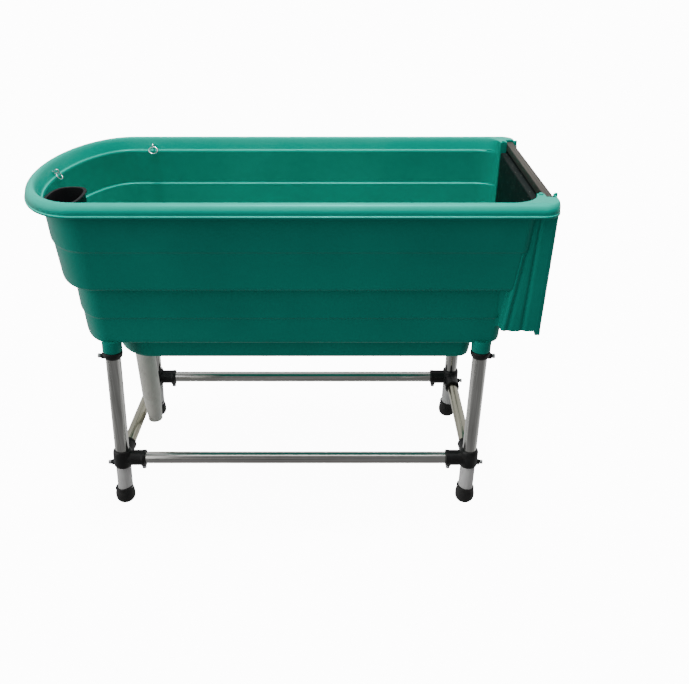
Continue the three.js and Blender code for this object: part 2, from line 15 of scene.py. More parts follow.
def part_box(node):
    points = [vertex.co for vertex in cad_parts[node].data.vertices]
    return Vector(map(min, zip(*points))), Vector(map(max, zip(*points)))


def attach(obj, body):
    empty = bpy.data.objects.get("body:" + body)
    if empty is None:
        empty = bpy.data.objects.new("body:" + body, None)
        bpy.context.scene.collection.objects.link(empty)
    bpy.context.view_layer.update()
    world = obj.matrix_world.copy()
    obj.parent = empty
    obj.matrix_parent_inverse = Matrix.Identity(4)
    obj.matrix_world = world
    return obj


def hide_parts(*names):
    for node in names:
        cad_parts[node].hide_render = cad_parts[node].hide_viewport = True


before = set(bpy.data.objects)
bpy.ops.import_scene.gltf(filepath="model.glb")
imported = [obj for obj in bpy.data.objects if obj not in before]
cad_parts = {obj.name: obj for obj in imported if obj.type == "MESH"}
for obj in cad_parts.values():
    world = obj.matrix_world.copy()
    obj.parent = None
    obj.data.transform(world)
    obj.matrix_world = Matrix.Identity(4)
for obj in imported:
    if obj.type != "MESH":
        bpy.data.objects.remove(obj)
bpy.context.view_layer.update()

MM = 0.001
UP = (0, 0, 1)
DOWN = (0, 0, -1)
ALONG_X = (1, 0, 0)


# ---------------------------------------------------------------- camera

CAMERA_PLACE = (0.145, -1.776, 1.428)
CAMERA_TILT = 59.8              # degrees up from straight down
CAMERA_LENS = 38.04


def add_camera():
    data = bpy.data.cameras.new("camera")
    data.lens = CAMERA_LENS
    camera = bpy.data.objects.new("camera", data)
    camera.location = CAMERA_PLACE
    camera.rotation_euler = (math.radians(CAMERA_TILT), 0, 0)
    bpy.context.scene.collection.objects.link(camera)
    bpy.context.scene.camera = camera


add_camera()


# ---------------------------------------------------------------- places from the frame

def corners(node):
    low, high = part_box(node)
    return np.array(low) / MM, np.array(high) / MM


def centre(node):
    low, high = corners(node)
    return (low + high) / 2


TUB_LOW, TUB_HIGH = corners("tub_shell")
HALF_LENGTH = TUB_HIGH[0]
HALF_WIDTH = TUB_HIGH[1]
RIM_Z = TUB_HIGH[2]
SUMP_Z = TUB_LOW[2]
RAIL_Z = centre("rail_front")[2]

WALL = 5                        # moulded wall
GAP = 0.3                       # clearance between touching pieces
LEG_RADIUS = 19
LEG_BORE = LEG_RADIUS + GAP
LEG_END = 507                   # along the leg, from the floor
NAMES = ("front_left", "rear_left", "front_right", "rear_right")
SIDE = {"left": -1, "right": 1}
FRONT = {"front": -1, "rear": 1}


def leg_axis(name):
    """The leg's place on the floor and its direction."""
    foot = centre(f"foot_{name}")
    foot[2] = 0
    way = centre(f"leg_tube_{name}") - foot
    return foot, way / np.linalg.norm(way)


def leg_point(name, height):
    foot, way = leg_axis(name)
    return foot + way * height / way[2]


# ---------------------------------------------------------------- shapes: (points, faces)

def rounded(points, reach, steps=6):
    """The path with each inner corner rounded. reach is one length or one for each point."""
    points = np.asarray(points, float)
    reaches = np.broadcast_to(reach, len(points))
    path = [points[0]]
    for i in range(1, len(points) - 1):
        back, ahead = points[i - 1] - points[i], points[i + 1] - points[i]
        span = [max(np.linalg.norm(side[:2]), 1e-6) for side in (back, ahead)]
        start = points[i] + back * min(reaches[i] / span[0], 0.499)
        end = points[i] + ahead * min(reaches[i] / span[1], 0.499)
        for t in np.linspace(0, 1, steps):
            path.append((1 - t) ** 2 * start + 2 * t * (1 - t) * points[i] + t ** 2 * end)
    path.append(points[-1])
    return np.array(path)


def rounded_loop(points, reach, steps=5):
    """The same for a closed outline."""
    points = np.asarray(points, float)
    ends = np.vstack([points[-1:], points, points[:1]])
    return rounded(ends, reach, steps)[1:-1]


def loft(rings, closed=False):
    """Walls through rings of as many points, anticlockwise seen from the far end; the ends are capped."""
    rings = np.asarray(rings, float)
    levels, count, _ = rings.shape
    faces = []
    for level in range(levels if closed else levels - 1):
        low, high = level * count, (level + 1) % levels * count
        for i in range(count):
            j = (i + 1) % count
            faces.append((low + i, low + j, high + j, high + i))
    if not closed:
        faces.append(tuple(range(count - 1, -1, -1)))
        faces.append(tuple(range((levels - 1) * count, levels * count)))
    return rings.reshape(-1, 3), faces


def lathe(profile, sides, closed=False, teeth=0.0):
    """A body of revolution about Z from (radius, height) pairs. teeth shortens every second radius."""
    turns = np.arange(sides) * 2 * np.pi / sides
    bite = 1 - teeth * (np.arange(sides) % 2)
    return loft([
        np.column_stack([r * bite * np.cos(turns), r * bite * np.sin(turns), np.full(sides, z)])
        for r, z in profile
    ], closed)


def rod(radius, start, end, sides=48, edge=0.6):
    core = radius * 0.4
    return lathe(rounded([(core, start), (radius, start), (radius, end), (core, end)], edge, 4), sides)


def pipe(outer, inner, start, end, sides=64, edge=0.4):
    profile = rounded_loop([(inner, start), (outer, start), (outer, end), (inner, end)], edge, 3)
    return lathe(profile, sides, closed=True)


def box(x, y, z):
    """A block between two values along each axis."""
    outline = [(x[0], y[0]), (x[1], y[0]), (x[1], y[1]), (x[0], y[1])]
    return loft([[(*corner, height) for corner in outline] for height in z])


RING_AROUND = 64
RING_ACROSS = 16


def ring(radius, wire, stretch=(1, 1)):
    """A torus in the YZ plane, with its axis along X, stretched in Y and Z."""
    turns = np.arange(RING_AROUND) * 2 * np.pi / RING_AROUND
    rings = []
    for angle in np.arange(RING_ACROSS) * 2 * np.pi / RING_ACROSS:
        reach = radius - wire * math.cos(angle)
        rings.append(np.column_stack([
            np.full(RING_AROUND, wire * math.sin(angle)),
            reach * np.cos(turns) * stretch[0],
            reach * np.sin(turns) * stretch[1],
        ]))
    return loft(rings, closed=True)


def moved(shape, matrix):
    points, faces = shape
    turned = np.array(matrix.to_3x3()) @ points.T
    return turned.T + np.array(matrix.translation), faces


def aim_matrix(origin, way):
    turn = Vector(UP).rotation_difference(Vector(way)).to_matrix().to_4x4()
    return Matrix.Translation(Vector(origin)) @ turn


def aim(shape, origin, way):
    """A shape built along +Z, turned to point along the way, with its origin moved."""
    return moved(shape, aim_matrix(origin, way))


# ---------------------------------------------------------------- solids

BEVEL_ANGLE = 40                # degrees, the least sharp edge that a bevel rounds


def solid(shape):
    """A plain object from a shape, for cutting and joining, or as a piece's first form."""
    points, faces = shape
    mesh = bpy.data.meshes.new("solid")
    mesh.from_pydata([tuple(p) for p in points * MM], [], faces)
    work = bmesh.new()
    work.from_mesh(mesh)
    bmesh.ops.recalc_face_normals(work, faces=work.faces)
    work.to_mesh(mesh)
    work.free()
    obj = bpy.data.objects.new("solid", mesh)
    bpy.context.scene.collection.objects.link(obj)
    return obj


def apply_modifiers(obj):
    bpy.context.view_layer.update()
    graph = bpy.context.evaluated_depsgraph_get()
    mesh = bpy.data.meshes.new_from_object(obj.evaluated_get(graph))
    obj.modifiers.clear()
    before = obj.data
    obj.data = mesh
    bpy.data.meshes.remove(before)
    return obj


def combine(base, operation, tools):
    for tool in tools:
        modifier = base.modifiers.new("combine", "BOOLEAN")
        modifier.operation = operation
        modifier.solver = "MANIFOLD"
        modifier.object = tool
    apply_modifiers(base)
    for tool in tools:
        bpy.data.objects.remove(tool)
    return base


def join(base, *tools):
    return combine(base, "UNION", tools)


def cut(base, *tools):
    return combine(base, "DIFFERENCE", tools)


def place_at(obj, origin, way):
    """Turns and moves an object that was built along +Z."""
    obj.data.transform(aim_matrix(np.asarray(origin) * MM, way))
    return obj


def bevel(obj, width, segments=2):
    modifier = obj.modifiers.new("bevel", "BEVEL")
    modifier.width = width * MM
    modifier.segments = segments
    modifier.limit_method = "ANGLE"
    modifier.angle_limit = math.radians(BEVEL_ANGLE)
    return apply_modifiers(obj)


def moulded(obj, voxel, relax=4):
    """One skin with soft inner corners, as a moulding has."""
    modifier = obj.modifiers.new("skin", "REMESH")
    modifier.mode = "VOXEL"
    modifier.voxel_size = voxel * MM
    smooth = obj.modifiers.new("relax", "SMOOTH")
    smooth.factor = 0.5
    smooth.iterations = relax
    return apply_modifiers(obj)


def piece(name, obj, material, body, stands_for=(), sharp=38):
    """Finishes a solid as a visible piece that rides on a body."""
    obj.name = name
    obj.data.name = name
    obj.data.shade_smooth()
    obj.data.set_sharp_from_angle(angle=math.radians(sharp))
    obj.data.materials.clear()
    obj.data.materials.append(material)
    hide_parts(*stands_for)
    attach(obj, body)
    return obj


# ---------------------------------------------------------------- material helpers

class Surface:
    """A procedural material on the Principled shader, in the object's own coordinates."""

    def __init__(self, name, metallic=0.0, specular=0.5, tint=(1, 1, 1)):
        self.material = bpy.data.materials.new(name)
        self.material.use_nodes = True
        self.nodes = self.material.node_tree.nodes
        self.links = self.material.node_tree.links
        self.shader = self.nodes["Principled BSDF"]
        self.height = None
        self.shader.inputs["Metallic"].default_value = metallic
        self.shader.inputs["Specular IOR Level"].default_value = specular
        self.shader.inputs["Specular Tint"].default_value = (*tint, 1)

    def place(self, stretch):
        coordinates = self.nodes.new("ShaderNodeTexCoord")
        mapping = self.nodes.new("ShaderNodeMapping")
        mapping.inputs["Scale"].default_value = stretch
        self.links.new(coordinates.outputs["Object"], mapping.inputs["Vector"])
        return mapping.outputs["Vector"]

    def noise(self, scale, detail=3.0, roughness=0.55, stretch=(1, 1, 1)):
        node = self.nodes.new("ShaderNodeTexNoise")
        node.inputs["Scale"].default_value = scale
        node.inputs["Detail"].default_value = detail
        node.inputs["Roughness"].default_value = roughness
        self.links.new(self.place(stretch), node.inputs["Vector"])
        return node.outputs["Fac"]

    def cells(self, scale):
        node = self.nodes.new("ShaderNodeTexVoronoi")
        node.inputs["Scale"].default_value = scale
        self.links.new(self.place((1, 1, 1)), node.inputs["Vector"])
        return node.outputs["Distance"]

    def ramp(self, source, *stops):
        """Colours or greys at places from 0 to 1 along the source."""
        node = self.nodes.new("ShaderNodeValToRGB")
        scale = node.color_ramp
        while len(scale.elements) < len(stops):
            scale.elements.new(0.5)
        for element, (place, colour) in zip(scale.elements, stops):
            element.position = place
            element.color = (*colour, 1) if isinstance(colour, tuple) else (colour, colour, colour, 1)
        self.links.new(source, node.inputs["Fac"])
        return node.outputs["Color"]

    def multiply(self, first, second):
        node = self.nodes.new("ShaderNodeMix")
        node.data_type = "RGBA"
        node.blend_type = "MULTIPLY"
        node.inputs["Factor"].default_value = 1
        self.links.new(first, node.inputs["A"])
        self.links.new(second, node.inputs["B"])
        return node.outputs["Result"]

    def colour(self, source):
        self.links.new(source, self.shader.inputs["Base Color"])

    def roughness(self, source, low, high):
        node = self.nodes.new("ShaderNodeMapRange")
        node.inputs["To Min"].default_value = low
        node.inputs["To Max"].default_value = high
        self.links.new(source, node.inputs["Value"])
        self.links.new(node.outputs["Result"], self.shader.inputs["Roughness"])

    def bump(self, source, depth, strength=1.0):
        """Adds relief of about that depth, in millimetres."""
        node = self.nodes.new("ShaderNodeBump")
        node.inputs["Distance"].default_value = depth * MM
        node.inputs["Strength"].default_value = strength
        self.links.new(source, node.inputs["Height"])
        if self.height:
            self.links.new(self.height, node.inputs["Normal"])
        self.height = node.outputs["Normal"]
        self.links.new(self.height, self.shader.inputs["Normal"])


# ---------------------------------------------------------------- materials

def tub_plastic():
    """Rotomoulded polyethylene: clouded colour, orange peel and slow waves in the skin."""
    look = Surface("tub_plastic", specular=0.22, tint=(0.02, 1, 0.9))
    cloud = look.ramp(look.noise(5.0, 4), (0.3, (0.0025, 0.25, 0.185)), (0.7, (0.004, 0.29, 0.215)))
    speckle = look.ramp(look.noise(900, 2), (0.35, 0.9), (0.65, 1.0))
    look.colour(look.multiply(cloud, speckle))
    look.roughness(look.noise(28, 4), 0.3, 0.44)
    look.bump(look.noise(3.2, 2), 6.0, 0.3)
    look.bump(look.noise(520, 2), 0.12, 0.35)
    return look.material


def gate_board():
    """Dark moulded board with sparse painted glints: small light specks in its colour that stand in for
    glints of light.
    """
    look = Surface("gate_board", specular=0.12)
    base = look.noise(9, 4)
    # painted glints: bright specks at the cell centres, over the board's own near-black colour
    board_and_painted_glints = look.ramp(
        look.cells(95), (0.0, (0.6, 0.62, 0.55)), (0.09, (0.10, 0.12, 0.1)), (0.13, (0.002, 0.005, 0.0045)),
    )
    look.colour(look.multiply(board_and_painted_glints, look.ramp(base, (0.3, 0.65), (0.7, 1.0))))
    look.roughness(look.noise(40, 3), 0.5, 0.7)
    look.bump(look.noise(260, 3), 0.2, 0.4)
    return look.material


def gate_cap_plastic():
    look = Surface("gate_cap_plastic", specular=0.25)
    grain = look.noise(18, 4, stretch=(1, 0.25, 1))
    look.colour(look.ramp(grain, (0.3, (0.024, 0.021, 0.017)), (0.7, (0.04, 0.036, 0.03))))
    look.roughness(look.noise(60, 3), 0.4, 0.6)
    look.bump(look.noise(700, 2), 0.1, 0.4)
    return look.material


def black_rubber():
    look = Surface("black_rubber", specular=0.35)
    look.colour(look.ramp(look.noise(35, 5), (0.3, (0.010, 0.010, 0.010)), (0.7, (0.022, 0.022, 0.021))))
    look.roughness(look.noise(90, 3), 0.5, 0.72)
    look.bump(look.noise(1100, 2), 0.15, 0.45)
    return look.material


def black_nylon():
    """Glass-filled nylon: matt pebble grain with slightly polished high spots."""
    look = Surface("black_nylon", specular=0.3)
    look.colour(look.ramp(look.noise(50, 4), (0.3, (0.0085, 0.0085, 0.009)), (0.75, (0.018, 0.019, 0.019))))
    look.roughness(look.noise(130, 3), 0.32, 0.52)
    look.bump(look.cells(1500), 0.1, 0.35)
    return look.material


def basket_plastic():
    look = Surface("basket_plastic", specular=0.12)
    look.colour(look.ramp(look.noise(30, 4), (0.3, (0.003, 0.003, 0.0035)), (0.7, (0.007, 0.007, 0.008))))
    look.roughness(look.noise(90, 3), 0.42, 0.62)
    look.bump(look.noise(650, 2), 0.12, 0.4)
    return look.material


def drawn_steel(name, along, dark=(0.50, 0.50, 0.475), bright=(0.82, 0.815, 0.79)):
    """Polished stainless tube with hairline scratches along its axis, given as 0, 1 or 2."""
    look = Surface(name, metallic=1.0)
    stretch = [320.0, 320.0, 320.0]
    stretch[along] = 2.5
    streak = look.noise(1.0, 4, 0.6, tuple(stretch))
    cloud = look.noise(7, 3)
    tint = look.ramp(streak, (0.32, dark), (0.68, bright))
    look.colour(look.multiply(tint, look.ramp(cloud, (0.3, 0.84), (0.7, 1.0))))
    look.roughness(streak, 0.1, 0.26)
    look.bump(streak, 0.05, 0.3)
    return look.material


def zinc():
    """Bright plated screws, rings and eyes, with a faint mottle."""
    look = Surface("zinc", metallic=1.0)
    look.colour(look.ramp(look.noise(160, 4), (0.3, (0.62, 0.63, 0.64)), (0.7, (0.82, 0.83, 0.84))))
    look.roughness(look.noise(300, 3), 0.16, 0.34)
    look.bump(look.noise(900, 2), 0.04, 0.3)
    return look.material


def strainer_steel():
    """Spun stainless flange with a fine mottle."""
    look = Surface("strainer_steel", metallic=1.0)
    look.colour(look.ramp(look.noise(400, 3), (0.3, (0.58, 0.58, 0.57)), (0.7, (0.74, 0.74, 0.73))))
    look.roughness(look.noise(250, 3), 0.18, 0.34)
    look.bump(look.noise(700, 3), 0.05, 0.4)
    return look.material


def grey_sleeve():
    look = Surface("grey_sleeve", specular=0.5)
    streak = look.noise(1.0, 4, 0.6, (120, 120, 5))
    look.colour(look.ramp(streak, (0.25, (0.55, 0.55, 0.545)), (0.75, (0.7, 0.7, 0.69))))
    look.roughness(look.noise(80, 3), 0.34, 0.5)
    look.bump(look.noise(800, 2), 0.06, 0.4)
    return look.material


def pipe_plastic():
    """Off-white drain pipe, a little dirty in upright streaks."""
    look = Surface("pipe_plastic", specular=0.5)
    base = look.ramp(look.noise(14, 5), (0.3, (0.66, 0.66, 0.6)), (0.7, (0.78, 0.78, 0.72)))
    scuff = look.ramp(look.noise(60, 6, 0.7, (1, 1, 0.4)), (0.28, 0.72), (0.46, 1.0))
    look.colour(look.multiply(base, scuff))
    look.roughness(look.noise(70, 3), 0.34, 0.52)
    look.bump(look.noise(600, 2), 0.08, 0.4)
    return look.material


TUB = tub_plastic()
BOARD = gate_board()
CAP = gate_cap_plastic()
RUBBER = black_rubber()
NYLON = black_nylon()
BASKET = basket_plastic()
STEEL_UP = drawn_steel("steel_upright", 2)
STEEL_LONG = drawn_steel("steel_long", 0)
STEEL_CROSS = drawn_steel("steel_cross", 1, (0.34, 0.33, 0.25), (0.66, 0.645, 0.53))
ZINC = zinc()
STRAINER = strainer_steel()
SLEEVE = grey_sleeve()
PIPE = pipe_plastic()


# ---------------------------------------------------------------- tub outlines

NOSE_X = -440                   # where the straight sides end and the nose begins
NOSE_LENGTH = NOSE_X + HALF_LENGTH
NOSE_POWER = 2.05
NOSE_STEPS = 96
CORNER_STEPS = 12
RIM_RIGHT = 618
RIM_END_SHARE = 0.35            # the roll is this much tighter across the gate end
JAMB_RIGHT = 572                # where the inner walls end, inside the gateway
JAMB_CORNER = 66
DOOR_HALF = 214                 # half the clear width of the gateway
SILL_Z = 612                    # top of the gateway's sill
SLOT_Z = 585                    # bottom of the slot that the gate stands in
FRAME_BOTTOM = 565              # underside of the sill and the gate columns
FRAME_LEFT = 522                # where the gate frame meets the lower tier
COLUMN_TOP = 870
FLOOR_Z = 512                   # underside of the lower tier
STEP_Z = 672                    # underside of the upper tier
LEDGE_Z = 866.8                 # small ledge inside, just under the rim
SUMP_NOSE_X = -350
SUMP_CORNER = 28
SOCKET_RADIUS = 24.5
SOCKET_START = 487
SOCKET_END = 520
LUG_Y = 236
LUG_HALF = 6
NUB_Y = 219
NUBS = ((580, 5), (612.8, 4))   # place along X and radius


def plan(nose_x, nose_length, half_width, right, corner_x, corner_y):
    """Straight sides, a rounded nose at -X and two elliptic corners at +X."""
    turn = np.linspace(-np.pi / 2, 0, CORNER_STEPS + 1)
    front = np.column_stack([
        right - corner_x + corner_x * np.cos(turn),
        corner_y - half_width + corner_y * np.sin(turn),
    ])
    rear = front[::-1] * (1, -1)
    sweep = np.pi / 2 + np.linspace(0, np.pi, NOSE_STEPS + 1)
    round_off = [np.sign(wave) * np.abs(wave) ** (2 / NOSE_POWER) for wave in (np.cos(sweep), np.sin(sweep))]
    nose = np.column_stack([nose_x + nose_length * round_off[0], half_width * round_off[1]])
    return np.vstack([front, rear, nose])


def level(z, inset, right, corner_x, corner_y):
    points = plan(NOSE_X, NOSE_LENGTH - inset, HALF_WIDTH - inset, right, corner_x, corner_y)
    return np.column_stack([points, np.full(len(points), z)])


def tier(z, inset, right, corner):
    """A level of the tiers: height, inset from the rim's edge, end at +X and corner radius."""
    return z, inset, right, corner, corner


def rim(z, inset):
    corner = max(45 - inset, 12)
    return z, inset, RIM_RIGHT - RIM_END_SHARE * inset, corner, corner


def jamb(z, inset):
    """A level inside the rim, which runs into the gateway's jamb."""
    return z, inset, JAMB_RIGHT, JAMB_CORNER, HALF_WIDTH - inset - DOOR_HALF


def stack(levels):
    """A loft from (level, reach of its rounding) pairs."""
    path = rounded([values for values, _ in levels], [reach for _, reach in levels])
    return loft([level(*values) for values in path])


# ---------------------------------------------------------------- tub

def tub_outside():
    """Floor, two tiers with their creases, the rolled rim, and its inner face down to the ledge."""
    return stack([
        (tier(FLOOR_Z, 102, 511, 28), 0), (tier(FLOOR_Z, 82.4, 530.6, 28), 15), (tier(584, 80, 533, 28), 3),
        (tier(589, 76, 536, 28), 3), (tier(STEP_Z - 3, 75, 538, 28), 4), (tier(STEP_Z + 2, 49, 554, 22), 9),
        (tier(772, 43.5, 563, 22), 3), (tier(777, 39, 565, 22), 3), (tier(861, 36.5, 571, 22), 2),
        (rim(864, 31), 3), (rim(869.8, 0.4), 1.5), (rim(874.6, 0), 1.2), (rim(875.8, 2.6), 1.2),
        (rim(885, 3.2), 9), (rim(892, 6.4), 9), (rim(897.8, 12.4), 9), (rim(RIM_Z, 19), 9),
        (jamb(RIM_Z, 22), 4), (jamb(898.2, 25), 4), (jamb(893, 28.2), 6), (jamb(882, 32), 8),
        (jamb(LEDGE_Z + 1, 36.2), 2), (jamb(LEDGE_Z, 38.5), 1), (jamb(LEDGE_Z, 44), 0),
    ])


def tub_inside():
    """The space inside, one wall further in, up through the ledge."""
    return stack([
        (tier(FLOOR_Z + WALL, 107, 506, 28), 0), (tier(FLOOR_Z + WALL, 87.4, 525.6, 28), 15),
        (tier(584, 85, 528, 28), 3), (tier(589, 81, 531, 28), 3), (tier(STEP_Z + 4, 80, 533, 28), 4),
        (jamb(STEP_Z + 7, 53.5), 9), (jamb(774, 48.7), 1.5), (jamb(776.5, 43.4), 1.5),
        (jamb(863.5, 41.4), 2), (jamb(LEDGE_Z + 1, 39.6), 1), (jamb(LEDGE_Z + 6, 39.6), 0),
    ])


def rim_channel():
    """The hollow of the rolled rim, open underneath, as far as the gate frame."""
    section = [
        (858, 5), (874, 5), (884, 7.5), (891, 12), (894, 17), (896, 21),
        (892.5, 24), (888, 26), (877, 29), (866, 32), (857, 32),
    ]
    path = rounded(section, 4, 3)
    hollow = solid(loft([level(z, inset, 600, 30, 30) for z, inset in path], closed=True))
    return combine(hollow, "INTERSECT", [solid(box((-700, 540), (-400, 400), (850, RIM_Z)))])


def gate_column(front):
    """One side of the gate frame, with upright pleats that widen towards the rim."""
    end = HALF_LENGTH
    low_outline = [
        (505, 213), (522, 214), (523, 236), (530, 243), (538, 238), (546, 243), (566, 243), (573, 237),
        (581, 243), (611, 243), (618, 240), (end, 234), (end, 205), (505, 205),
    ]
    high_outline = [
        (520, 230), (545, 252), (556, 256), (562, 256), (568, 249), (572, 250), (577, 251), (581, 248),
        (586, 253), (609, 253), (617, 250), (end, 243), (end, 205), (520, 205),
    ]
    rings = []
    for outline, z in ((low_outline, FRAME_BOTTOM), (high_outline, COLUMN_TOP)):
        points = rounded_loop(np.array(outline) * (1, front), 4, 5)
        points = points if front < 0 else points[::-1]
        rings.append(np.column_stack([points, np.full(len(points), z)]))
    return solid(loft(rings))


def sump(grow, bottom, top):
    """The shallow well under the floor that runs to the drain."""
    steps = [(bottom, 156), (bottom, 174), (bottom + 16, 177), (top, 181)]
    rings = []
    for z, half_width in rounded(steps, 9, 6):
        half = half_width + grow
        points = plan(SUMP_NOSE_X, half - 56, half, half + 290, SUMP_CORNER, SUMP_CORNER)
        rings.append(np.column_stack([points, np.full(len(points), z)]))
    return solid(loft(rings))


def sockets():
    """The leg sockets under the floor."""
    shape = rod(SOCKET_RADIUS, SOCKET_START, SOCKET_END, 48, 2.5)
    return [solid(aim(shape, *leg_axis(name))) for name in NAMES]


def socket_bores():
    shape = rod(LEG_BORE, SOCKET_START - 9, LEG_END + 1, 48, 0.2)
    return [solid(aim(shape, *leg_axis(name))) for name in NAMES]


def lugs():
    """A small block under each gate column."""
    z = (FRAME_BOTTOM - 11, FRAME_BOTTOM + 2)
    return [solid(box((606, 618), (y - LUG_HALF, y + LUG_HALF), z)) for y in (-LUG_Y, LUG_Y)]


def nubs():
    """Low studs on the rim beside the gateway."""
    return [
        solid(aim(rod(radius, -9, 3.2, 24, 2.4), (x, y, RIM_Z), UP))
        for y in (-NUB_Y, NUB_Y) for x, radius in NUBS
    ]


def gateway():
    """The hollow under the sill, the gateway, and the slot that the gate slides in."""
    bar_low, bar_high = corners("gate_top_bar")
    slot_x = (bar_low[0] - 0.4, bar_high[0] + 0.4)
    slot_half = bar_high[1] + 1.5
    door_half = DOOR_HALF - 1
    return [
        solid(box((FRAME_LEFT + 14, 578), (-203, 203), (FRAME_BOTTOM - 1, SILL_Z - 7))),
        solid(box((FRAME_LEFT + 2.5, HALF_LENGTH + 5), (-door_half, door_half), (SILL_Z, RIM_Z + 5))),
        solid(box(slot_x, (-slot_half, slot_half), (SLOT_Z, RIM_Z + 5))),
    ]


def drain_hole():
    return solid(aim(rod(TAIL_RADIUS + 0.5, SUMP_Z - 5, SUMP_Z + 10, 48, 0.2), (DRAIN_X, 0, 0), UP))


def tub_shell():
    sill = solid(box((FRAME_LEFT + 1.5, HALF_LENGTH), (-210, 210), (FRAME_BOTTOM, SILL_Z)))
    shell = join(
        solid(tub_outside()), gate_column(-1), gate_column(1), sill, *lugs(),
        sump(0, SUMP_Z, FLOOR_Z + 2), *sockets(),
    )
    cut(
        shell, rim_channel(), solid(tub_inside()), sump(-WALL, SUMP_Z + WALL, FLOOR_Z + WALL + 3),
        *gateway(), drain_hole(), *socket_bores(), *[solid(eye_hole(tether)) for tether in TETHERS],
    )
    join(shell, *nubs())
    piece("tub_moulding", shell, TUB, "tub", ["tub_shell"], 32)


# ---------------------------------------------------------------- tether eyes and rings

EYE_Z = 879
EYE_REACH = 10                  # from the rim's inner face to the eye's centre
EYE_RADIUS = 6
EYE_WIRE = 1.6
EYE_INSET = 33
RING_RADIUS = 11
RING_WIRE = 1.5
RING_STRETCH = (1.1, 0.85)
RING_LEAN = math.radians(34)    # from hanging straight down
TETHERS = {                     # place of the hole, and heading in degrees
    "nose": ((-HALF_LENGTH + EYE_INSET + 1, 14), 0),
    "rear": ((-388, HALF_WIDTH - EYE_INSET), -90),
    "front": ((-388, -HALF_WIDTH + EYE_INSET), 90),
}


def eye_matrix(tether):
    (x, y), heading = TETHERS[tether]
    return Matrix.Translation((x, y, EYE_Z)) @ Matrix.Rotation(math.radians(heading), 4, "Z")


def eye_hole(tether):
    return moved(aim(rod(EYE_WIRE + 2 * GAP, -12, 8, 16, 0.1), (0, 0, 0), ALONG_X), eye_matrix(tether))


def tether_parts(tether):
    matrix = eye_matrix(tether)
    upright = Matrix.Rotation(math.pi / 2, 4, "Z")
    eye = solid(moved(ring(EYE_RADIUS, EYE_WIRE), matrix @ Matrix.Translation((EYE_REACH, 0, 0)) @ upright))
    shank = aim(rod(EYE_WIRE, -7, EYE_REACH - EYE_RADIUS + 0.2, 24, 0.3), (0, 0, 0), ALONG_X)
    join(eye, solid(moved(shank, matrix)))
    piece(f"eye_{tether}", eye, ZINC, "tub", [f"tether_eye_{tether}"])
    pivot = Matrix.Translation((EYE_REACH, 0, -(EYE_RADIUS - EYE_WIRE - RING_WIRE - GAP)))
    lean = Matrix.Rotation(-RING_LEAN, 4, "Y") @ Matrix.Translation((0, 0, -RING_RADIUS * RING_STRETCH[1]))
    loop = ring(RING_RADIUS, RING_WIRE, RING_STRETCH)
    piece(f"ring_{tether}", solid(moved(loop, matrix @ pivot @ lean)), ZINC, f"ring_{tether}",
          [f"tether_ring_{tether}"])


# ---------------------------------------------------------------- gate

GATE_THICKNESS = 16
PLUG_HALF = 211.5               # the gate's raised middle, which fills the gateway
PLUG_TOP = 872


def gate_panel():
    """The board with its raised middle."""
    low, high = corners("gate_panel")
    board = solid(box((high[0] - GATE_THICKNESS, high[0]), (low[1], high[1]), (low[2], high[2])))
    plug = solid(box((low[0], high[0] - 4), (-PLUG_HALF, PLUG_HALF), (SILL_Z + 1, PLUG_TOP)))
    join(bevel(board, 1.2, 3), bevel(plug, 3, 4))
    piece("gate_board", board, BOARD, "gate", ["gate_panel"])


def gate_seal():
    seal = solid(box(*zip(*corners("gate_seal"))))
    piece("gate_seal_strip", bevel(seal, 0.8, 3), RUBBER, "gate", ["gate_seal"])


def gate_cap():
    """A channel over the board's top edge."""
    low, high = corners("gate_top_bar")
    back = corners("gate_panel")[1][0]
    groove_x = (back - GATE_THICKNESS - GAP, back + GAP)
    groove_z = (low[2] - 1, (low[2] + high[2]) / 2 + GAP)
    groove = box(groove_x, (low[1] - 1, high[1] + 1), groove_z)
    bar = cut(solid(box(*zip(low, high))), solid(groove))
    piece("gate_cap", bevel(bar, 1.1, 3), CAP, "gate", ["gate_top_bar"])


# ---------------------------------------------------------------- stand

TUBE_WALL = 1.5
SLEEVE_RADIUS = 20.5
SLEEVE_START = 13
SLEEVE_END = 121.5
FOOT_HEIGHT = 50
FOOT_TILT = 4.5                 # rise of the lip on the inner side, and its drop on the outer side
COLLAR_START = 467.5
COLLAR_END = 486
COLLAR_SCREW = COLLAR_START + 2
CLAMP_START = 123
CLAMP_END = 178
CLAMP_RADIUS = 25
LEG_SCREW_Z = 131
ARM_RADIUS = 22
ARM_END = 64                    # from the leg's axis
ARM_BOSS = 55                   # the arm's screw boss, from the leg's axis
RIB_HALF = 1.6
RAIL_RADIUS = 16.25
RAIL_BORE = RAIL_RADIUS + GAP
RAIL_START = 24                 # the rail's end, from the leg's axis
BOSS_RADIUS = 8
BOSS_START = 12
COLLAR_BOSS = 29                # ends of the screw bosses
LEG_BOSS = 31
RAIL_BOSS = 27
SCREW_RADIUS = 3
SCREW_HEAD = 6
COLLAR_KNOB = 38                # from the tube's axis to the end of the screw's head
LEG_KNOB = 40
ARM_KNOB = 36
SCREW_HOLE = rod(SCREW_RADIUS + GAP, 10, 40, 24, 0.1)


def screw_body(kind, name):
    return f"{kind}_screw_{name.replace('front', 'f').replace('rear', 'r')}"


def thumb_screw(name, origin, way, start, length, body, node):
    """A zinc screw with a knurled head, its shank from the tube that it grips outwards."""
    shank = rod(SCREW_RADIUS, start, length - 8, 24, 0.4)
    flank = [
        (1.2, length - 8.6), (SCREW_HEAD - 1.6, length - 8.6), (SCREW_HEAD, length - 7),
        (SCREW_HEAD, length - 1), (SCREW_HEAD - 1, length), (1.2, length),
    ]
    head = lathe(rounded(flank, 0.5, 3), 40, teeth=0.07)
    screw = place_at(join(solid(shank), solid(head)), origin, way)
    piece(name, screw, ZINC, body, [node], 30)


